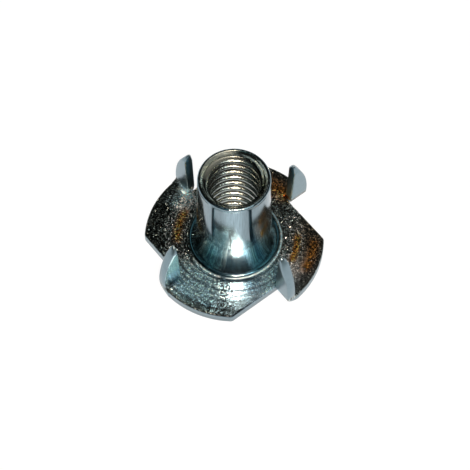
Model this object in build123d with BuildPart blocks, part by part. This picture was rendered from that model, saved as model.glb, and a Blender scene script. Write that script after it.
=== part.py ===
from build123d import *
import os
from math import acos, cos, degrees, pi, radians, sin, sqrt

# Four-prong drive-in tee nut for an M6 screw. It is one blank of sheet steel:
# the barrel is drawn up from its middle, and four slivers of its rim are slit
# free and folded up as prongs, which leaves a pinwheel flange. The flange lies
# on z = 0, the barrel points up +Z, and the flange's corners are on X and Y.

# Sheet and flange, in millimetres
flange_diameter = 18.0
sheet_thickness = 0.95
corner_radius = 0.6
edge_radius = 0.2

# Barrel and bell, outside
overall_height = 12.0
mouth_diameter = 7.0
barrel_diameter = 7.45
bell_diameter = 8.8
bell_height = 3.2
crease_radius = 0.25
lip_radius = 0.22

# Bore, inside: drawn funnel, tapping size of the thread, and sunk mouth
funnel_diameter = 6.4
funnel_height = 2.8
entry_radius = 1.0
bore_diameter = 5.0
sink_diameter = 6.4
sink_depth = 0.75

# Prongs: slit, fold and point
prong_count = 4
sliver_width = 2.05
notch_radius = 0.9
notch_sweep = 55
fold_radius = 0.5
fold_shift = 0.5
fold_swell = 0.04
splay_angle = 2.5
point_draw = 0.45
point_width = 0.25
inner_point_length = 0.9
outer_point_length = 1.3
arris_width = 0.1

# Shares of the sheet's thickness: its neutral layer when it is folded, and
# the part of a prong's point that is cut away on the side facing the flange
neutral_share = 0.44
inner_point_share = 0.5

# Cuts run this far past the faces that they open
overrun = 1.0

# Half sizes, the slits' distance from the middle, and heights from the underside
flange_radius = flange_diameter / 2
slit_offset = flange_radius - sliver_width
mouth_radius = mouth_diameter / 2
barrel_radius = barrel_diameter / 2
bell_radius = bell_diameter / 2
funnel_radius = funnel_diameter / 2
bore_radius = bore_diameter / 2
sink_radius = sink_diameter / 2
bell_top = sheet_thickness + bell_height
sink_start = overall_height - sink_depth
hub_radius = (bell_radius + slit_offset) / 2

# Each slit runs along a chord, from a corner of the flange to the chord's
# middle, where the line of the fold starts.
slit_length = sqrt(flange_radius**2 - slit_offset**2)
fold_angle = degrees(acos(slit_offset / flange_radius))
corner_spots = [
    Vector(flange_radius, 0).rotate(Axis.Z, 360 / prong_count * turn)
    for turn in range(prong_count)
]

# Across a fold: the prong's two faces, and the line where its bend starts
inner_face = fold_shift
outer_face = inner_face - sheet_thickness
bend_start = inner_face + fold_radius
point_inner = inner_face - inner_point_share * sheet_thickness
point_outer = point_inner - point_width

# Up a prong: the end of its bend, the height that the chord's middle comes
# to once the sheet has gone round the bend, and the point, which is drawn out
# a little where it is pinched
bend_height = sheet_thickness + fold_radius
bend_run = pi / 2 * (fold_radius + neutral_share * sheet_thickness)
fold_zero = bend_height + bend_start - bend_run
prong_top = fold_zero + slit_length + point_draw
prong_width = sqrt(flange_radius**2 - bend_start**2) - slit_offset + fold_swell

# A slit ends in a round notch that sweeps from the chord to the fold line
notch_rise = notch_radius * sin(radians(notch_sweep))
notch_reach = notch_radius * (1 - cos(radians(notch_sweep)))

# One prong, with its fold line along X and its inner face towards +Y
with BuildPart() as prong:
    # The sheet seen along the fold: out of the flange, round and up
    with BuildSketch(Plane.YZ.offset(slit_offset - sheet_thickness)) as folded_sheet:
        with BuildLine():
            Polyline(
                (inner_face, bend_height),
                (inner_face, prong_top - inner_point_length),
                (point_inner, prong_top),
                (point_outer, prong_top),
                (outer_face, prong_top - outer_point_length),
                (outer_face, bend_height),
            )
            RadiusArc((outer_face, bend_height), (bend_start, 0), -bend_height)
            Line((bend_start, 0), (bend_start, sheet_thickness))
            RadiusArc((bend_start, sheet_thickness), (inner_face, bend_height), fold_radius)
        make_face()
    extrude(amount=flange_radius)
    # The sliver's outline: the slit is its inner side, the old rim its outer
    # side, and it leans outwards a little
    lean = Vector(1, 0, 0).rotate(Axis.Y, splay_angle)
    sliver_plane = Plane((slit_offset, 0, 0), x_dir=lean, z_dir=(0, -1, 0))
    with BuildSketch(sliver_plane) as sliver:
        with BuildLine():
            Polyline(
                (prong_width, fold_zero + bend_start),
                (prong_width, -bend_height),
                (0, -bend_height),
                (0, prong_top),
            )
            RadiusArc((0, prong_top), (prong_width, fold_zero + bend_start), flange_radius)
        make_face()
    extrude(amount=flange_diameter, both=True, mode=Mode.INTERSECT)
    joined_face = prong.faces().sort_by(Axis.Y)[-1]
    chamfer(prong.edges() - joined_face.edges(), arris_width)

with BuildPart() as tee_nut:
    # Flange: a disc with a sliver taken from its rim beyond each slit
    with BuildSketch() as blank:
        Circle(flange_radius)
        with BuildLine(mode=Mode.PRIVATE) as slit:
            Polyline(
                (slit_offset + notch_reach, bend_start),
                (flange_diameter, bend_start),
                (flange_diameter, -flange_diameter),
                (slit_offset, -flange_diameter),
                (slit_offset, bend_start - notch_rise),
            )
            TangentArc(
                (slit_offset, bend_start - notch_rise),
                (slit_offset + notch_reach, bend_start),
                tangent=(0, 1),
            )
        sliver_cut = make_face(slit.edges(), mode=Mode.PRIVATE)
        with PolarLocations(0, prong_count, start_angle=fold_angle):
            add(sliver_cut, mode=Mode.SUBTRACT)
        corners = [blank.vertices().sort_by_distance(spot)[0] for spot in corner_spots]
        fillet(corners, corner_radius)
    extrude(amount=sheet_thickness)
    # The punched rim is rolled over on top, all but where a prong joins it
    rim_edges = tee_nut.edges().group_by(Axis.Z)[-1]
    fold_edges = rim_edges.filter_by(GeomType.LINE).group_by(SortBy.LENGTH)[0]
    fillet(rim_edges - fold_edges, edge_radius)

    # Barrel and bell, drawn up from the middle of the flange
    with BuildSketch(Plane.XZ) as drawn_outside:
        with BuildLine():
            Polyline(
                (bell_radius, sheet_thickness),
                (hub_radius, sheet_thickness),
                (hub_radius, 0),
                (0, 0),
                (0, overall_height),
                (mouth_radius, overall_height),
                (barrel_radius, bell_top),
            )
            TangentArc(
                (barrel_radius, bell_top),
                (bell_radius, sheet_thickness),
                tangent=(barrel_radius - mouth_radius, bell_top - overall_height),
            )
        make_face()
        lip = drawn_outside.vertices().sort_by_distance((mouth_radius, overall_height))[0]
        fillet(lip, lip_radius)
        crease = drawn_outside.vertices().sort_by_distance((bell_radius, sheet_thickness))[0]
        fillet(crease, crease_radius)
    revolve(axis=Axis.Z)

    with PolarLocations(0, prong_count, start_angle=fold_angle):
        add(prong.part)

    # Bore: rounded funnel below, tapping size through, sunk mouth above
    with BuildSketch(Plane.XZ) as drawn_inside:
        with BuildLine():
            Polyline(
                (0, -overrun),
                (hub_radius, -overrun),
                (hub_radius, 0),
                (funnel_radius, 0),
                (bore_radius, funnel_height),
                (bore_radius, sink_start),
                (sink_radius, overall_height),
                (sink_radius, overall_height + overrun),
                (0, overall_height + overrun),
                close=True,
            )
        make_face()
        entry = drawn_inside.vertices().sort_by_distance((funnel_radius, 0))[0]
        fillet(entry, entry_radius)
    revolve(axis=Axis.Z, mode=Mode.SUBTRACT)

tee_nut.part.label = "tee_nut"
os.makedirs("parts", exist_ok=True)
export_step(tee_nut.part, "parts/tee_nut.step")
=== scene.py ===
# %% [markdown]
# # A tee nut, dressed
# A tee nut is one stamping of sheet steel: a threaded barrel drawn up from a flat flange, and four
# prongs folded up from the flange's rim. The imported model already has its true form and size, so this
# lesson keeps that form, makes its curved walls smooth enough for bright metal, cuts the thread, and
# then spends its effort on the zinc finish and the light.

from math import cos, hypot, pi, radians, sin, tan

import bmesh
import bpy
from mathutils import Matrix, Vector


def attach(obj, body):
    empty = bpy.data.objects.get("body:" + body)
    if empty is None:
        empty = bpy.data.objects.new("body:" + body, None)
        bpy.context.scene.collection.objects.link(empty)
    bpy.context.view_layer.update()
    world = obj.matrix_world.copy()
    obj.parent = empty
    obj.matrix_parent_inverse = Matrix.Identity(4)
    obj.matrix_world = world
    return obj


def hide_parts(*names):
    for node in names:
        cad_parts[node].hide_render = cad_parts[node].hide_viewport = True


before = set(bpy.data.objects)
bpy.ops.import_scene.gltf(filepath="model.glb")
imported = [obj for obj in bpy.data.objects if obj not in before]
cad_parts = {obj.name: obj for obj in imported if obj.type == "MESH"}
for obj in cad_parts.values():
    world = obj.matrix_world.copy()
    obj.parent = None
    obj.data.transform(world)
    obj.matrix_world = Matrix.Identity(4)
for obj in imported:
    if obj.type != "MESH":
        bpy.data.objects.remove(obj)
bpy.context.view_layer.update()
MM = 0.001

# %% [markdown]
# ## Node arithmetic
# Both the wall's shape and the metal's finish are small formulas. Blender keeps formulas as trees of
# nodes, which are tedious to add one at a time. A thin wrapper around a socket lets Python's own
# operators add the Math nodes, so that a formula reads like a formula.


# %% A socket with arithmetic
class Wire:
    """An output socket of a node tree. Operators on it add Math nodes to the tree."""

    def __init__(self, tree, socket=None):
        self.tree = tree
        self.socket = socket

    def node(self, kind, settings=None, inputs=None, output=0):
        """Adds a node, sets its settings, then the values or links of its inputs."""
        made = self.tree.nodes.new(kind)
        for name, value in (settings or {}).items():
            setattr(made, name, value)
        for key, value in (inputs or {}).items():
            if isinstance(value, Wire):
                self.tree.links.new(value.socket, made.inputs[key])
            else:
                made.inputs[key].default_value = value
        return Wire(self.tree, made.outputs[output]) if made.outputs else None

    def math(self, operation, *others):
        """A Math node on this socket and the values after it."""
        return self.node("ShaderNodeMath", {"operation": operation}, dict(enumerate((self, *others))))

    def step(self, start, end):
        """Rises smoothly from 0 at start to 1 at end, which may be the lower of the two."""
        settings = {"interpolation_type": "SMOOTHSTEP"}
        low, high, at_low, at_high = (start, end, 0.0, 1.0) if start < end else (end, start, 1.0, 0.0)
        return self.node("ShaderNodeMapRange", settings, {0: self, 1: low, 2: high, 3: at_low, 4: at_high})

    def band(self, middle, half_width):
        """1 at the middle, and 0 at half a width away on both sides."""
        return abs(self - middle).step(half_width, 0.0)

    def most(self, other):
        return self.math("MAXIMUM", other)

    def least(self, other):
        return self.math("MINIMUM", other)

    def __add__(self, other):
        return self.math("ADD", other)

    def __sub__(self, other):
        return self.math("SUBTRACT", other)

    def __rsub__(self, other):
        return self.node("ShaderNodeMath", {"operation": "SUBTRACT"}, {0: other, 1: self})

    def __mul__(self, other):
        return self.math("MULTIPLY", other)

    def __truediv__(self, other):
        return self.math("DIVIDE", other)

    def __mod__(self, other):
        return self.math("FLOORED_MODULO", other)

    def __abs__(self):
        return self.math("ABSOLUTE")

    __radd__ = __add__
    __rmul__ = __mul__


print("node arithmetic ready")

# %% [markdown]
# ## The camera
# The photograph looks down on the nut at about sixty degrees from some distance, so its sides hardly
# converge. A long lens far away gives the same view. The image is square, 470 pixels each way, and the
# focal length in pixels turns into a lens length on Blender's 36 mm sensor.

# %% Camera
IMAGE_PIXELS = 470
FOCAL_PIXELS = 1599.9
SENSOR = 36.0
LOOK_DOWN = radians(60.48)
LOOK_ROUND = radians(1.2)
CAMERA_DISTANCE = 160.0 * MM
AIM = Vector((0.08, 0.0, 1.304)) * MM
CLIP_NEAR, CLIP_FAR = 0.005, 20.0

camera_data = bpy.data.cameras.new("camera")
camera_data.sensor_width = SENSOR
camera_data.lens = SENSOR * FOCAL_PIXELS / IMAGE_PIXELS
camera_data.clip_start = CLIP_NEAR
camera_data.clip_end = CLIP_FAR
camera = bpy.data.objects.new("camera", camera_data)
bpy.context.scene.collection.objects.link(camera)
away = Vector((sin(LOOK_ROUND) * cos(LOOK_DOWN), -cos(LOOK_ROUND) * cos(LOOK_DOWN), sin(LOOK_DOWN)))
camera.location = AIM + CAMERA_DISTANCE * away
camera.rotation_euler = (pi / 2 - LOOK_DOWN, 0, LOOK_ROUND)
bpy.context.scene.camera = camera
bpy.context.scene.view_settings.view_transform = "Standard"
print("camera at, mm:", [round(value / MM, 1) for value in camera.location])

# %% [markdown]
# ## The barrel's profile
# Cut the nut in half along its axis and the drawn wall is one line: off the flange, up the bell and the
# barrel, over the lip, down the sunk mouth, the bore and the funnel, and out under the flange. Turned
# about the axis, that line makes the whole wall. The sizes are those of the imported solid. Rows lie close
# together where the line bends, and all the way down the bore, where the thread will be cut.

# %% Sizes of the drawn wall, in millimetres
SHEET = 0.95
HEIGHT = 12.0
MOUTH_R, BARREL_R, BELL_R = 3.5, 3.725, 4.4
BELL_HEIGHT = 3.2
BELL_TOP = SHEET + BELL_HEIGHT
CREASE_R, LIP_R = 0.25, 0.22
BORE_R, SINK_R, SINK_DEPTH = 2.5, 3.2, 0.75
FUNNEL_R, FUNNEL_HEIGHT, ENTRY_R = 3.2, 2.8, 1.0
TOP_SEAM_R, FOOT_SEAM_R = 5.2, 4.6
print("sheet, mm:", SHEET, "height, mm:", HEIGHT)


# %% Round a corner of a line, or divide its runs
def rounded(points, corner, radius, steps):
    """The polyline with one of its corners replaced by an arc."""
    before, at, after = (Vector(points[corner + shift]) for shift in (-1, 0, 1))
    there, on = (before - at).normalized(), (after - at).normalized()
    half = there.angle(on) / 2
    middle = at + (there + on).normalized() * radius / sin(half)
    start, end = at + there * radius / tan(half), at + on * radius / tan(half)
    arc = []
    for step in range(steps + 1):
        spoke = (start - middle).slerp(end - middle, step / steps)
        arc.append(tuple(middle + spoke * radius))
    return points[:corner] + arc + points[corner + 1:]


def divided(points, row_height):
    """The polyline with every run cut into pieces about as long as a row."""
    out = [points[0]]
    for a, b in zip(points, points[1:]):
        a, b = Vector(a), Vector(b)
        count = max(1, round((b - a).length / row_height))
        out += [tuple(a.lerp(b, step / count)) for step in range(1, count + 1)]
    return out


print("a millimetre in quarters:", divided([(0, 0), (0, 1)], 0.25))

# %% The bell's arc, tangent to the barrel
BELL_STEPS = 40
wall_run = Vector((BARREL_R - MOUTH_R, BELL_TOP - HEIGHT)).normalized()
to_foot = Vector((BELL_R - BARREL_R, SHEET - BELL_TOP))
across = Vector((-wall_run.y, wall_run.x))
bell_arc_r = to_foot.length_squared / (2 * to_foot.dot(across))
bell_middle = Vector((BARREL_R, BELL_TOP)) + across * bell_arc_r
spoke_top = Vector((BARREL_R, BELL_TOP)) - bell_middle
spoke_foot = Vector((BELL_R, SHEET)) - bell_middle
bell = []
for step in range(BELL_STEPS + 1):
    spoke = spoke_foot.slerp(spoke_top, step / BELL_STEPS)
    bell.append(tuple(bell_middle + spoke * bell_arc_r))
print("bell arc radius, mm:", round(bell_arc_r, 2))

# %% The whole line, outside then inside
# The crease's arc takes the place of the bell's first few points
CREASE_POINTS = 4
EDGE_STEPS, ENTRY_STEPS = 8, 16
WALL_ROW, BORE_ROW = 0.35, 0.045
outside = rounded([(TOP_SEAM_R, SHEET), bell[0]] + bell[CREASE_POINTS:], 1, CREASE_R, EDGE_STEPS)
outside = outside[:-1] + divided([bell[-1], (MOUTH_R, HEIGHT)], WALL_ROW)
outside += [(SINK_R, HEIGHT)]
outside = rounded(outside, len(outside) - 2, LIP_R, EDGE_STEPS)
inside = divided([(SINK_R, HEIGHT), (BORE_R, HEIGHT - SINK_DEPTH)], BORE_ROW)
inside += divided([(BORE_R, HEIGHT - SINK_DEPTH), (BORE_R, FUNNEL_HEIGHT)], BORE_ROW)[1:]
funnel = [(BORE_R, FUNNEL_HEIGHT), (FUNNEL_R, 0), (FOOT_SEAM_R, 0)]
funnel = rounded(funnel, 1, ENTRY_R, ENTRY_STEPS)
inside += divided(funnel[:2], BORE_ROW)[1:] + funnel[2:]
tapped_from, tapped_to = len(outside), len(outside) + len(inside) - 1
profile = outside + inside[1:]
print("profile rows:", len(profile))

# %% [markdown]
# ## The wall and its thread
# A tap cuts one long spiral groove, a millimetre lower with each turn. That is a rule, so Geometry Nodes
# make it: a plain grid gets one column for each step round the axis and one row for each point of the
# profile, and a formula moves its points out to the profile's radius. In the bore, a point also moves out
# to the groove's flank where that lies deeper. The sunk mouth and the funnel are wider than the crests,
# so the groove fades out in them by itself, as it does on the real nut.

# %% The inputs of the wall's node tree
THREAD = {
    "Columns": 192,
    "Pitch": 1.0 * MM,
    "Start": -0.32 * MM,
    "Crest radius": BORE_R * MM,
    "Groove depth": 0.52 * MM,
}
wall_tree = bpy.data.node_groups.new("drawn wall with thread", "GeometryNodeTree")
wall_tree.interface.new_socket("Geometry", in_out="INPUT", socket_type="NodeSocketGeometry")
for name, value in THREAD.items():
    kind = "NodeSocketInt" if isinstance(value, int) else "NodeSocketFloat"
    wall_tree.interface.new_socket(name, in_out="INPUT", socket_type=kind)
wall_tree.interface.new_socket("Finish", in_out="INPUT", socket_type="NodeSocketMaterial")
wall_tree.interface.new_socket("Geometry", in_out="OUTPUT", socket_type="NodeSocketGeometry")
tree = Wire(wall_tree)
given = {name: tree.node("NodeGroupInput", output=name) for name in ("Geometry", *THREAD, "Finish")}
print("wall inputs:", list(given))

# %% The row and the turn of each grid point
rows = tree.node("GeometryNodeAttributeDomainSize", None, {0: given["Geometry"]})
index = tree.node("GeometryNodeInputIndex")
row = index % rows
turn = ((index - row) / rows) / given["Columns"]


def at_row(data_type, value):
    """A value of the profile, read at the row that a grid point belongs to."""
    settings = {"data_type": data_type, "domain": "POINT"}
    return tree.node("GeometryNodeSampleIndex", settings, {0: given["Geometry"], 1: value, 2: row})


place = at_row("FLOAT_VECTOR", tree.node("GeometryNodeInputPosition"))
flag = tree.node("GeometryNodeInputNamedAttribute", {"data_type": "FLOAT"}, {0: "tapped"})
tapped = at_row("FLOAT", flag)
plain_r, level = (tree.node("ShaderNodeSeparateXYZ", None, {0: place}, axis) for axis in "XZ")
print("wall tree nodes so far:", len(wall_tree.nodes))

# %% The groove's rule
# Shares of the pitch, from the middle of the groove: half a pitch, its flat root and the foot of a crest
HALF_PITCH, ROOT_SHARE, CREST_SHARE = 0.5, 0.08, 0.36
from_groove = abs(((level - given["Start"]) / given["Pitch"] - turn) % 1.0 - HALF_PITCH)
depth = from_groove.step(CREST_SHARE, ROOT_SHARE) * given["Groove depth"]
cut_r = plain_r.most(given["Crest radius"] + depth)
radius = plain_r + tapped * (cut_r - plain_r)
print("groove depth, mm:", round(THREAD["Groove depth"] / MM, 2))

# %% The grid, bent round the axis
JOIN_GAP = 0.0005 * MM
angle = turn * (2 * pi)
across_x, across_y = radius * angle.math("COSINE"), radius * angle.math("SINE")
on_wall = tree.node("ShaderNodeCombineXYZ", None, {0: across_x, 1: across_y, 2: level})
grid_size = {"Vertices X": given["Columns"] + 1, "Vertices Y": rows}
grid = tree.node("GeometryNodeMeshGrid", None, grid_size)
bent = tree.node("GeometryNodeSetPosition", None, {"Geometry": grid, "Position": on_wall})
closed = tree.node("GeometryNodeMergeByDistance", None, {"Geometry": bent, "Distance": JOIN_GAP})
real = tree.node("GeometryNodeRealizeInstances", None, {0: closed})
finished = tree.node("GeometryNodeSetMaterial", None, {"Geometry": real, "Material": given["Finish"]})
tree.node("NodeGroupOutput", None, {0: finished})
print("wall tree nodes:", len(wall_tree.nodes))

# %% Turn the profile
zinc = bpy.data.materials.new("zinc plate")
line = bpy.data.meshes.new("wall profile")
line_points = [(r * MM, 0, up * MM) for r, up in profile]
line_runs = [(i, i + 1) for i in range(len(profile) - 1)]
line.from_pydata(line_points, line_runs, [])
flags = line.attributes.new("tapped", "FLOAT", "POINT")
flags.data.foreach_set("value", [float(tapped_from <= i < tapped_to) for i in range(len(profile))])
wall = bpy.data.objects.new("wall", line)
bpy.context.scene.collection.objects.link(wall)
turning = wall.modifiers.new("turn", "NODES")
turning.node_group = wall_tree
sockets = {item.name: item.identifier for item in wall_tree.interface.items_tree if item.in_out == "INPUT"}
for name, value in THREAD.items():
    turning[sockets[name]] = value
turning[sockets["Finish"]] = zinc
graph = bpy.context.evaluated_depsgraph_get()
wall_mesh = bpy.data.meshes.new_from_object(wall.evaluated_get(graph))
wall.modifiers.clear()
bpy.data.objects.remove(wall)
print("wall faces:", len(wall_mesh.polygons))

# %% [markdown]
# ## Flange and prongs
# The flange's rim and the prongs are shears, folds and small rounded edges that follow no single rule, and
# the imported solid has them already. A copy of its mesh keeps them: the barrel and the two flat sides are
# taken off the copy, the turned wall goes in, and the flat sides are filled again between the rim and the
# wall, so that the whole nut is one closed skin.

# %% The copy without its barrel and flat sides
FLAT = 0.9999
NEAR = 0.002 * MM
KEEP_R = 5.8 * MM
skin = bmesh.new()
skin.from_mesh(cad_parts["tee_nut"].data)
bmesh.ops.remove_doubles(skin, verts=skin.verts, dist=JOIN_GAP)
skin.normal_update()


def is_flat_side(face):
    """A face of the flange's flat top or of its flat underside."""
    up = face.calc_center_median().z
    on_top = face.normal.z > FLAT and abs(up - SHEET * MM) < NEAR
    below = face.normal.z < -FLAT and abs(up) < NEAR
    return on_top or below


gone = [
    face for face in skin.faces
    if is_flat_side(face) or hypot(*face.calc_center_median().xy) < KEEP_R
]
bmesh.ops.delete(skin, geom=gone, context="FACES")
print("rim and prong faces kept:", len(skin.faces))

# %% Join the wall and fill the flat sides
skin.from_mesh(wall_mesh)
for flat_side in (0.0, SHEET * MM):
    open_edges = [
        edge for edge in skin.edges
        if edge.is_boundary and all(abs(vert.co.z - flat_side) < NEAR for vert in edge.verts)
    ]
    faces_up = 1 if flat_side else -1
    bmesh.ops.triangle_fill(skin, edges=open_edges, use_beauty=True, normal=(0, 0, faces_up))
bmesh.ops.recalc_face_normals(skin, faces=skin.faces)
loose = sum(not edge.is_manifold for edge in skin.edges)
print("open edges left:", loose, "volume, mm3:", round(skin.calc_volume() / MM**3, 1))

# %% One plain mesh
CRISP_ANGLE = radians(36)
body_mesh = bpy.data.meshes.new("tee_nut_body")
for face in skin.faces:
    face.smooth = True
    face.material_index = 0
skin.to_mesh(body_mesh)
skin.free()
body_mesh.materials.clear()
body_mesh.materials.append(zinc)
body_mesh.set_sharp_from_angle(angle=CRISP_ANGLE)
body = bpy.data.objects.new("tee_nut_body", body_mesh)
bpy.context.scene.collection.objects.link(body)
print("body vertices:", len(body_mesh.vertices))

# %% Even shading, with crisp edges kept
FACE_WEIGHT = 50
weigh = body.modifiers.new("even shading", "WEIGHTED_NORMAL")
weigh.keep_sharp = True
weigh.weight = FACE_WEIGHT
graph = bpy.context.evaluated_depsgraph_get()
shaded_mesh = bpy.data.meshes.new_from_object(body.evaluated_get(graph))
body.modifiers.clear()
body.data = shaded_mesh
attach(body, "root")
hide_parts("tee_nut")
print("triangles:", sum(len(polygon.vertices) - 2 for polygon in shaded_mesh.polygons))

# %% [markdown]
# ## The zinc finish, zone by zone
# Bright zinc is a thin blue-grey plate over the steel, so it shows how the steel was worked: drawn on the
# barrel, stamped on the flange's top, sheared on the rim and the prongs. Three materials could share the
# nut, but they would meet in hard lines. Here one material works out from a point's place on the nut how
# much it belongs to each zone, so the zones run into each other as they do in steel.

# %% Where a point lies, in millimetres and degrees
TURN, HALF_TURN = 360.0, 180.0
zinc.use_nodes = True
zinc.node_tree.nodes.clear()
plate = Wire(zinc.node_tree)
position = plate.node("ShaderNodeTexCoord", output="Object")
in_mm = plate.node("ShaderNodeVectorMath", {"operation": "SCALE"}, {0: position, "Scale": 1 / MM})
x, y, z = (plate.node("ShaderNodeSeparateXYZ", None, {0: in_mm}, axis) for axis in "XYZ")
forward = 0.0 - y
reach = (x * x + y * y).math("SQRT")
bearing = y.math("ARCTAN2", x) * (HALF_TURN / pi)
print("places read from the Object coordinates")

# %% Drawn, stamped and sheared zones
# Here and below, a pair says where a mask starts and where it is full, in millimetres.
# The pair of a ring, a line or a glow is its radius and half its width.
WALL_FOOT, WALL_RISE = (4.62, 4.5), (0.4, 0.9)
PRONG_IN, PRONG_RISE = (6.2, 6.6), (1.15, 1.6)
TOP_RISE = (0.75, 0.93)
BORE_WALL, BORE_TOP = (3.25, 3.1), (11.5, 11.2)
LIP_RISE = (11.6, 11.8)

barrel = reach.step(*WALL_FOOT) * z.step(*WALL_RISE)
prong = z.step(*PRONG_RISE) * reach.step(*PRONG_IN)
stamped = z.step(*TOP_RISE) * (1.0 - barrel.most(prong))
sheared = 1.0 - barrel - stamped
bore = reach.step(*BORE_WALL) * z.step(*BORE_TOP)
lip = z.step(*LIP_RISE)
print("zones: drawn barrel with its bore and lip, stamped top, sheared rim and prongs")

# %% [markdown]
# ## Golden-brown patches, worn patches and painted light
# The flange's top isn't even. Golden-brown patches lie along its pressed rings. The front lobe is dull,
# with a painted blue reflection, and a polished patch in its middle carries a painted warm highlight.
# Painted highlights lie along the crease and beside a fold, and a rubbed patch by that fold carries painted
# sheen. A painted image could hold them, but it would blur close up. Each patch here is an arc of a ring,
# given by its bearing, its radius and its size, and a cloudy noise breaks up the golden-brown patches'
# edges.


# %% Clouds, ring patches and golden-brown patches
def noise(point, scale, detail, roughness=0.5):
    """A cloudy value from 0 to 1."""
    inputs = {"Vector": point, "Scale": scale, "Detail": detail, "Roughness": roughness}
    return plate.node("ShaderNodeTexNoise", {"noise_dimensions": "3D"}, inputs)


def patch(at, ring_r, spread, half_width):
    """1 in the middle of a patch that lies along a ring, and 0 outside it."""
    off = abs((bearing - (at - HALF_TURN)) % TURN - HALF_TURN)
    return off.step(spread, spread / 2) * reach.band(ring_r, half_width)


# Bearing, ring radius, spread in degrees, half width and strength of each golden-brown patch
GOLDEN_PATCHES = [
    (168.0, 5.7, 26.0, 0.8, 1.0),
    (52.0, 7.2, 18.0, 1.9, 1.0),
    (-11.0, 6.3, 19.0, 0.6, 1.0),
    (-14.0, 8.0, 18.0, 0.9, 0.8),
    (-12.0, 7.5, 40.0, 2.6, 0.3),
    (122.0, 7.3, 9.0, 0.9, 0.7),
]
GOLDEN_CLOUD = (0.25, 0.45)
cloud = noise(in_mm, scale=2.2, detail=3.0, roughness=0.65)
golden_patches = sum(patch(*where) * strength for *where, strength in GOLDEN_PATCHES)
golden_patch = (golden_patches * cloud.step(*GOLDEN_CLOUD) * stamped).least(1.0)
print("stains:", len(GOLDEN_PATCHES))

# %% The front lobe, a polished patch, and painted highlights and sheen at the crease and a fold
FRONT_FADE = (1.0, 4.0)
POLISH_FADE, POLISH_X, POLISH_SIDES = (2.5, 5.0), 0.6, (3.2, 1.4)
DULL_RIM = (8.5, 7.0)
CREASE_LINE, CREASE_LINE_SIDE = (4.74, 0.15), (-1.5, 1.0)

front = forward.step(*FRONT_FADE)
# A polished patch in the front lobe, smoother and with calmer facets. Its warm tint is a painted highlight.
polished = forward.step(*POLISH_FADE) * abs(x - POLISH_X).step(*POLISH_SIDES)
# Painted highlight along the crease on its right half, which is also rougher there.
crease_line = reach.band(*CREASE_LINE) * x.step(*CREASE_LINE_SIDE) * stamped
# Painted highlight beside the rear left fold, where the grain's facets are also calmer.
fold_highlight = patch(at=134.5, ring_r=7.3, spread=6.0, half_width=1.4) * stamped
# A rubbed, duller patch by the rear left fold; the light that it adds to the top below is painted sheen.
rubbed_and_sheen = patch(at=142.0, ring_r=6.9, spread=14.0, half_width=2.2)
dull = (front * (1.0 - polished) * reach.step(*DULL_RIM) + rubbed_and_sheen) * stamped
dull = dull.most(crease_line)
print("front lobe: dull, with a polished patch")

# %% The rolled faces of the front prongs, smoother and with painted sheen
PRONG_BEARING, PRONG_SPACING = 39.44, 90.0
ROLLED_FACE = (0.46, 0.49)

from_fold = (bearing - PRONG_BEARING + PRONG_SPACING / 2) % PRONG_SPACING - PRONG_SPACING / 2
beside_fold = reach * (from_fold * (pi / HALF_TURN)).math("SINE")
rolled_and_sheen = sheared * prong * front * beside_fold.step(*ROLLED_FACE)
print("folds every", PRONG_SPACING, "degrees from", PRONG_BEARING)

# %% [markdown]
# ## Relief
# Marks finer than the mesh are left to the light. Some are soft: streaks drawn along the barrel, a raised
# crease, a pressed ring, dents in the lip and the bore. A Bump node shades those from a height. The sheet's
# grain is different: tiny facets, each flat and each with its own tilt, which glint one by one. A Voronoi
# texture gives every cell one colour, and that colour, read as a direction, leans the cell's normal.

# %% Streaks, rings and dents, heights in millimetres
CREASE_RING, CREASE_RAISE = (4.7, 0.15), 0.03
PRESSED_RING, PRESSED_DEPTH = (6.17, 0.22), 0.006
STREAKS_PER_MM, STREAK_HEIGHT = (11.0, 11.0, 0.45), 0.0015
LIP_DENT, BORE_DENT, SHEAR_DENT = 0.045, 0.02, 0.006


def vector(operation, first, second=None, scale=None):
    """A Vector Math node."""
    inputs = {0: first}
    if second is not None:
        inputs[1] = second
    if scale is not None:
        inputs["Scale"] = scale
    return plate.node("ShaderNodeVectorMath", {"operation": operation}, inputs)


streaks = noise(vector("MULTIPLY", in_mm, STREAKS_PER_MM), scale=1.0, detail=2.0)
relief = (
    stamped * (reach.band(*CREASE_RING) * CREASE_RAISE - reach.band(*PRESSED_RING) * PRESSED_DEPTH)
    + barrel * streaks * STREAK_HEIGHT
    + lip * noise(in_mm, scale=2.5, detail=2.0) * LIP_DENT
    + bore * noise(in_mm, scale=5.0, detail=2.0) * BORE_DENT
    + sheared * noise(in_mm, scale=3.0, detail=2.0) * SHEAR_DENT
)
bumped = plate.node("ShaderNodeBump", None, {"Height": relief, "Distance": MM, "Strength": 1.0})
print("relief: streaks, rings and dents")

# %% Facets of the grain
COARSE_PER_MM, FINE_PER_MM = 11.0, 16.0
FACET_TILT = 0.45
MIDDLE = 0.5
FRONT_CALM, POLISH_CALM, GOLDEN_CALM, FOLD_CALM = 0.3, 0.85, 0.4, 0.8


def facets(per_mm):
    """Small flat facets, each with its own tilt, as a vector from -0.5 to 0.5 on each axis."""
    inputs = {"Vector": in_mm, "Scale": per_mm}
    cells = plate.node("ShaderNodeTexVoronoi", {"voronoi_dimensions": "2D"}, inputs, "Color")
    return vector("SUBTRACT", cells, (MIDDLE, MIDDLE, MIDDLE))


coarse, fine = facets(COARSE_PER_MM), facets(FINE_PER_MM)
steepness = stamped * FACET_TILT * (1.0 - front * FRONT_CALM) * (1.0 - polished * POLISH_CALM)
steepness = steepness * (1.0 - golden_patch * GOLDEN_CALM) * (1.0 - fold_highlight * FOLD_CALM)
tilt = vector("SCALE", vector("ADD", coarse, fine), scale=steepness)
facing = vector("NORMALIZE", vector("ADD", bumped, tilt))
print("facets per mm:", COARSE_PER_MM, "and", FINE_PER_MM)
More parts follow.
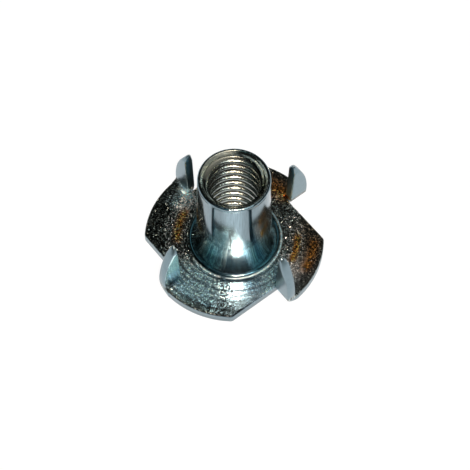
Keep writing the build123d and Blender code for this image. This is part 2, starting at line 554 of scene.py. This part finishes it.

# %% [markdown]
# ## Colour
# Metal has no colour of its own apart from the tint that it gives to a reflection. The plate is bluish,
# and is nearly neutral on the grainy lobes and in the tapped bore. The teal low on the barrel's sides and
# the front lobe's blue are painted reflections, and the polished patch's warm tint is a painted highlight.
# One tint for all would look like paint, so the tints are mixed zone by zone, and the golden-brown patches
# go on last.

# %% Tints
ZINC = (0.33, 0.45, 0.51, 1.0)
PAINTED_TEAL = (0.14, 0.36, 0.44, 1.0)
FRONT_PAINTED_BLUE = (0.28, 0.47, 0.59, 1.0)
STEEL = (0.42, 0.49, 0.46, 1.0)
PAINTED_WARM = (0.39, 0.49, 0.57, 1.0)
GOLDEN_BROWN = (0.80, 0.36, 0.09, 1.0)
BARE = (0.42, 0.47, 0.44, 1.0)
TEAL_RISE, TEAL_SIDES = (7.0, 3.5), (0.8, 2.4)
BARE_WALL = (3.35, 3.2)
BLUE_RIM = (9.4, 7.4)


def mixed(share, first, second):
    """A colour between two others."""
    return plate.node("ShaderNodeMix", {"data_type": "RGBA"}, {0: share, 6: first, 7: second}, 2)


# Painted reflection: the teal low on the barrel's left and right sides stands in for what the bell mirrors
# there.
wall_tint = mixed(z.step(*TEAL_RISE) * abs(x).step(*TEAL_SIDES), ZINC, PAINTED_TEAL)
barrel_tint = mixed(reach.step(*BARE_WALL), wall_tint, BARE)
# Painted reflection: the blue of the front lobe and of the dull patches stands in for the room that they
# mirror.
lobe_tint = mixed((front * reach.step(*BLUE_RIM)).most(dull), STEEL, FRONT_PAINTED_BLUE)
# Painted highlight: the polished patch's warm tint colours the lamp that it mirrors into the bell.
top_tint = mixed(polished, lobe_tint, PAINTED_WARM)
clean_tint = mixed(stamped, mixed(barrel, ZINC, barrel_tint), top_tint)
tint = mixed(golden_patch, clean_tint, GOLDEN_BROWN)
print("tints mixed: zinc, teal, blue, steel, warm, bare and stain")

# %% [markdown]
# ## Light and dark
# On the flange the grain's facets also differ in how much they reflect, and the drawing die pressed rings
# into the top: ripples across it, fine lines close to the crease and a ring whose dark line is painted
# shade.
# A lighter band round the bell is painted light, and a painted highlight lies on the crease at the front.
# These follow the radius, so cosines and bands of the reach make them, where a ring for each would take
# dozens of pieces. Painted shade darkens the outer lobes, the far end of the polished patch and a patch at
# the rear right. The barrel carries painted shade along its sides, on its upper wall, low on the front left
# of its bell and in the bore, and most in the thread's grooves.

# %% Grain and rings of the flange's top
GRAIN_LEAST, GRAIN_GAIN, GRAIN_POWER, GRAIN_MOST = 0.12, 3.8, 5.0, 2.2
GRAIN_MEAN, FRONT_EVEN = 0.68, 0.4
LIT_BAND_IN, LIT_BAND_OUT, LIT_BAND_SHIFT = (4.6, 5.4), (7.3, 6.8), 0.9
PRESSED_DARK = 0.7
CREASE_HIGHLIGHT_RING, CREASE_HIGHLIGHT_GAIN = (4.72, 0.18), 3.0
RIPPLE_PITCH, RIPPLE_WANDER = 0.55, 0.4
LINE_PITCH, LINE_BAND = 0.29, (5.0, 0.55)

fleck = plate.node("ShaderNodeSeparateXYZ", None, {0: coarse}, "X") + MIDDLE
grain = (GRAIN_LEAST + fleck.math("POWER", GRAIN_POWER) * GRAIN_GAIN).least(GRAIN_MOST)
grain = grain + front * FRONT_EVEN * (GRAIN_MEAN - grain)
# Painted light: a lighter band round the bell, reaching further out at the front. The pressed ring's dark
# line is painted shade, and the crease ring on the front is a painted highlight.
rings = (
    reach.step(*LIT_BAND_IN) * (reach - front * LIT_BAND_SHIFT).step(*LIT_BAND_OUT)
    - reach.band(*PRESSED_RING) * PRESSED_DARK
    + front * reach.band(*CREASE_HIGHLIGHT_RING) * CREASE_HIGHLIGHT_GAIN
)
ripple = ((reach + cloud * RIPPLE_WANDER) * (2 * pi / RIPPLE_PITCH)).math("COSINE")
fine_lines = reach.band(*LINE_BAND) * (reach * (2 * pi / LINE_PITCH)).math("COSINE")
print("ripple pitch, mm:", RIPPLE_PITCH, "line pitch, mm:", LINE_PITCH)

# %% Shade of the flange's top
RING_BASE, RING_GAIN, LINE_GAIN = 0.7, 0.75, 0.45
RIPPLE_GAIN, FRONT_RIPPLE_GAIN = 0.22, 0.12
OUTER_LOBE, OUTER_DARK, OUTER_FRONT_SHARE = (6.9, 7.5), 0.5, 0.85
POLISH_END, POLISH_END_SIDE, POLISH_END_DARK = (6.9, 7.4), (2.0, 0.7), 0.7
PAINTED_SHEEN_GAIN, REAR_DARK = 1.6, 0.5
GOLDEN_LIFT, GOLDEN_COVER = 0.55, 0.45
PAINTED_CREASE_LIGHT, FOLD_HIGHLIGHT_GAIN = 1.2, 1.5

ring_shade = RING_BASE + rings * RING_GAIN + fine_lines * LINE_GAIN
ring_shade = ring_shade + ripple * (RIPPLE_GAIN + front * FRONT_RIPPLE_GAIN)
# Painted shade: the outer lobes are darker, much less so at the front.
outer = reach.step(*OUTER_LOBE) * (1.0 - front * OUTER_FRONT_SHARE)
# Painted shade at the far end of the polished patch, except on its right.
polish_end = polished * x.step(*POLISH_END_SIDE) * reach.step(*POLISH_END)
# Painted shade on a patch at the rear right, beside the barrel.
rear_right = patch(at=36.0, ring_r=5.6, spread=16.0, half_width=1.4)
top_shade = grain * ring_shade * (1.0 - outer * OUTER_DARK) * (1.0 - polish_end * POLISH_END_DARK)
# Painted sheen on the rubbed patch, and painted shade on the patch at the rear right.
top_shade = top_shade * (1.0 + rubbed_and_sheen * PAINTED_SHEEN_GAIN - rear_right * REAR_DARK)
top_shade = top_shade + golden_patch * (GOLDEN_LIFT - top_shade * GOLDEN_COVER)
# Painted highlights on the crease and beside the rear left fold.
top_shade = top_shade + crease_line * PAINTED_CREASE_LIGHT + fold_highlight * FOLD_HIGHLIGHT_GAIN
print("top shaded: grain, rings, outer lobes and marks")

# %% Shade of the barrel and of the sheared edges
GROOVE_WALL, GROOVE_DARK, BORE_DARK = (2.55, 2.85), 0.65, 0.25
SIDE_X, SIDE_RISE, SIDE_DARK = (1.8, 3.8), (8.5, 5.0), 0.35
UPPER_RISE, UPPER_X, UPPER_OUT, UPPER_DARK = (4.5, 6.5), (0.2, 1.4), (3.3, 3.4), 0.38
BELL_LEFT_X, BELL_LEFT_RISE, BELL_LEFT_DARK = (0.4, 1.1), (3.5, 2.7), 0.6
STREAK_CONTRAST = 0.6
EDGE_BASE, EDGE_CLOUD = 0.6, 0.2
PRONG_SHEEN_BASE, PRONG_SHEEN_GAIN, PRONG_SHEEN_RISE = 0.2, 1.4, (1.2, 4.0)

# Painted shade in the bore, darkest in the thread's grooves.
groove = bore * reach.step(*GROOVE_WALL)
# Painted shade: the barrel's left and right sides, below its top.
side = abs(x).step(*SIDE_X) * z.step(*SIDE_RISE)
# Painted shade on the upper wall, all but a narrow strip down its middle.
upper_wall = z.step(*UPPER_RISE) * abs(x).step(*UPPER_X) * reach.step(*UPPER_OUT)
# Painted shade low on the front left of the bell.
bell_left = (0.0 - x).step(*BELL_LEFT_X) * front * z.step(*BELL_LEFT_RISE)
wall_shade = 1.0 - (streaks - MIDDLE) * STREAK_CONTRAST - side * SIDE_DARK
wall_shade = wall_shade - bore * BORE_DARK - groove * GROOVE_DARK
wall_shade = wall_shade * (1.0 - upper_wall * UPPER_DARK) * (1.0 - bell_left * BELL_LEFT_DARK)
# Painted sheen: the rolled faces of the front prongs grow lighter upwards.
painted_prong_sheen = rolled_and_sheen * (PRONG_SHEEN_BASE + z.step(*PRONG_SHEEN_RISE) * PRONG_SHEEN_GAIN)
edge_shade = EDGE_BASE + cloud * EDGE_CLOUD + painted_prong_sheen
shade = stamped * top_shade + barrel * wall_shade + sheared * edge_shade
colour = vector("SCALE", tint, scale=shade)
print("barrel and edges shaded")

# %% [markdown]
# ## Gloss
# Roughness says how the steel was left: nearly a mirror on the drawn wall, satin where it was sheared,
# dull where the front lobe is worn, and scraped at the back of the sunk mouth. Each zone adds its share.

# %% Roughness, and the finished zinc
SUNK_WALL, SUNK_RISE, SUNK_BACK, SUNK_LEFT = (3.3, 3.2), (11.2, 11.4), (-0.5, 1.0), (1.0, -1.0)
WALL_ROUGH, SUNK_ROUGH, BORE_ROUGH = 0.08, 0.35, 0.1
EDGE_ROUGH, ROLLED_SMOOTH = 0.28, 0.1
TOP_ROUGH, POLISH_ROUGH, DULL_ROUGH, CLOUD_ROUGH = 0.14, 0.03, 0.4, 0.06

sunk = reach.step(*SUNK_WALL) * z.step(*SUNK_RISE) * y.step(*SUNK_BACK) * x.step(*SUNK_LEFT)
roughness = (
    barrel * WALL_ROUGH
    + sunk * SUNK_ROUGH
    + bore * BORE_ROUGH
    + sheared * (EDGE_ROUGH - rolled_and_sheen * ROLLED_SMOOTH)
    + stamped * TOP_ROUGH
    + polished * POLISH_ROUGH
    + dull * DULL_ROUGH
    + cloud * CLOUD_ROUGH
)
metal = {"Base Color": colour, "Metallic": 1.0, "Roughness": roughness, "Normal": facing}
surface = plate.node("ShaderNodeBsdfPrincipled", None, metal)
plate.node("ShaderNodeOutputMaterial", None, {"Surface": surface})
print("zinc nodes:", len(zinc.node_tree.nodes))

# %% [markdown]
# ## Floor and light
# Bright metal is a mirror, so its look is mostly the room. The nut stands on a white sheet, which the
# upright walls reflect, under a dim room, which the flat flange reflects. One soft lamp beside the camera
# shines into the corner between flange and barrel and comes straight back, as the bright patch on the bell.

# %% Floor
FLOOR_R, FLOOR_SIDES, FLOOR_DROP = 3.0, 64, 0.02 * MM
floor_mesh = bpy.data.meshes.new("floor")
floor_angles = [2 * pi * i / FLOOR_SIDES for i in range(FLOOR_SIDES)]
corners = [(FLOOR_R * cos(around), FLOOR_R * sin(around), -FLOOR_DROP) for around in floor_angles]
floor_mesh.from_pydata(corners, [], [tuple(range(FLOOR_SIDES))])
floor = bpy.data.objects.new("floor", floor_mesh)
bpy.context.scene.collection.objects.link(floor)
print("floor radius, m:", FLOOR_R)

# %% White paper that keeps the shadow
PAPER_GREY, PAPER_WHITE = (0.9, 0.9, 0.9, 1), (1, 1, 1, 1)
PAPER_STRENGTH = 1.08
SHADOW_SHARE = 0.12
paper = bpy.data.materials.new("white paper")
paper.use_nodes = True
paper.node_tree.nodes.clear()
page = Wire(paper.node_tree)
rays = ("Is Camera Ray", "Is Glossy Ray", "Is Transmission Ray")
by_camera, by_gloss, by_glass = (page.node("ShaderNodeLightPath", output=ray) for ray in rays)
shown = by_camera.most(by_gloss).most(by_glass)
lit = page.node("ShaderNodeBsdfDiffuse", None, {"Color": PAPER_GREY})
white = page.node("ShaderNodeEmission", None, {"Color": PAPER_WHITE, "Strength": PAPER_STRENGTH})
both = page.node("ShaderNodeMixShader", None, {0: shown * (1 - SHADOW_SHARE), 1: lit, 2: white})
page.node("ShaderNodeOutputMaterial", None, {"Surface": both})
floor_mesh.materials.append(paper)
print("share of the paper's tone that takes shadow:", SHADOW_SHARE)

# %% Dim room
ROOM_DARK = (0.010, 0.011, 0.010, 1.0)
ROOM_GLOW = (0.07, 0.19, 0.22, 1.0)
ROOM_PALE = (0.50, 0.55, 0.55, 1.0)
GLOW_EDGE, HORIZON = (0.8, 0.98), (0.35, 0.08)

room = bpy.data.worlds.new("room")
bpy.context.scene.world = room
room.use_nodes = True
room.node_tree.nodes.clear()
sky = Wire(room.node_tree)
heading = sky.node("ShaderNodeTexCoord", output="Generated")
climb = sky.node("ShaderNodeSeparateXYZ", None, {0: heading}, "Z")
dot = {"operation": "DOT_PRODUCT"}
towards_camera = sky.node("ShaderNodeVectorMath", dot, {0: heading, 1: tuple(away)}, "Value")


def blend(share, first, second):
    """A colour between two others."""
    return sky.node("ShaderNodeMix", {"data_type": "RGBA"}, {0: share, 6: first, 7: second}, 2)


upper = blend(towards_camera.step(*GLOW_EDGE), ROOM_DARK, ROOM_GLOW)
tone = blend(climb.step(*HORIZON), upper, ROOM_PALE)
backdrop = sky.node("ShaderNodeBackground", None, {"Color": tone, "Strength": 1.0})
sky.node("ShaderNodeOutputWorld", None, {"Surface": backdrop})
print("room: dark above, pale at the horizon")

# %% Lamps
LAMP_DISTANCE = 0.6


def lamp(name, bearing_deg, rise_deg, width, height, radiance, light_tint):
    """A soft lamp that faces the nut, placed by its bearing and its angle above the floor."""
    data = bpy.data.lights.new(name, "AREA")
    data.shape = "RECTANGLE"
    data.size = width
    data.size_y = height
    data.energy = radiance * pi * width * height
    data.color = light_tint
    made = bpy.data.objects.new(name, data)
    bpy.context.scene.collection.objects.link(made)
    around, up = radians(bearing_deg), radians(rise_deg)
    way = Vector((cos(around) * cos(up), sin(around) * cos(up), sin(up)))
    made.location = way * LAMP_DISTANCE
    made.rotation_euler = way.to_track_quat("Z", "Y").to_euler()


lamp("key beside the camera", bearing_deg=-79, rise_deg=62, width=0.13, height=0.15,
     radiance=42, light_tint=(1.0, 0.76, 0.57))
lamp("right of the camera", bearing_deg=-48, rise_deg=56, width=0.20, height=0.20,
     radiance=4, light_tint=(0.90, 0.95, 0.95))
lamp("overhead", bearing_deg=40, rise_deg=74, width=0.30, height=0.30,
     radiance=0.5, light_tint=(1.0, 0.96, 0.9))
print("lamps placed:", len(bpy.data.lights))
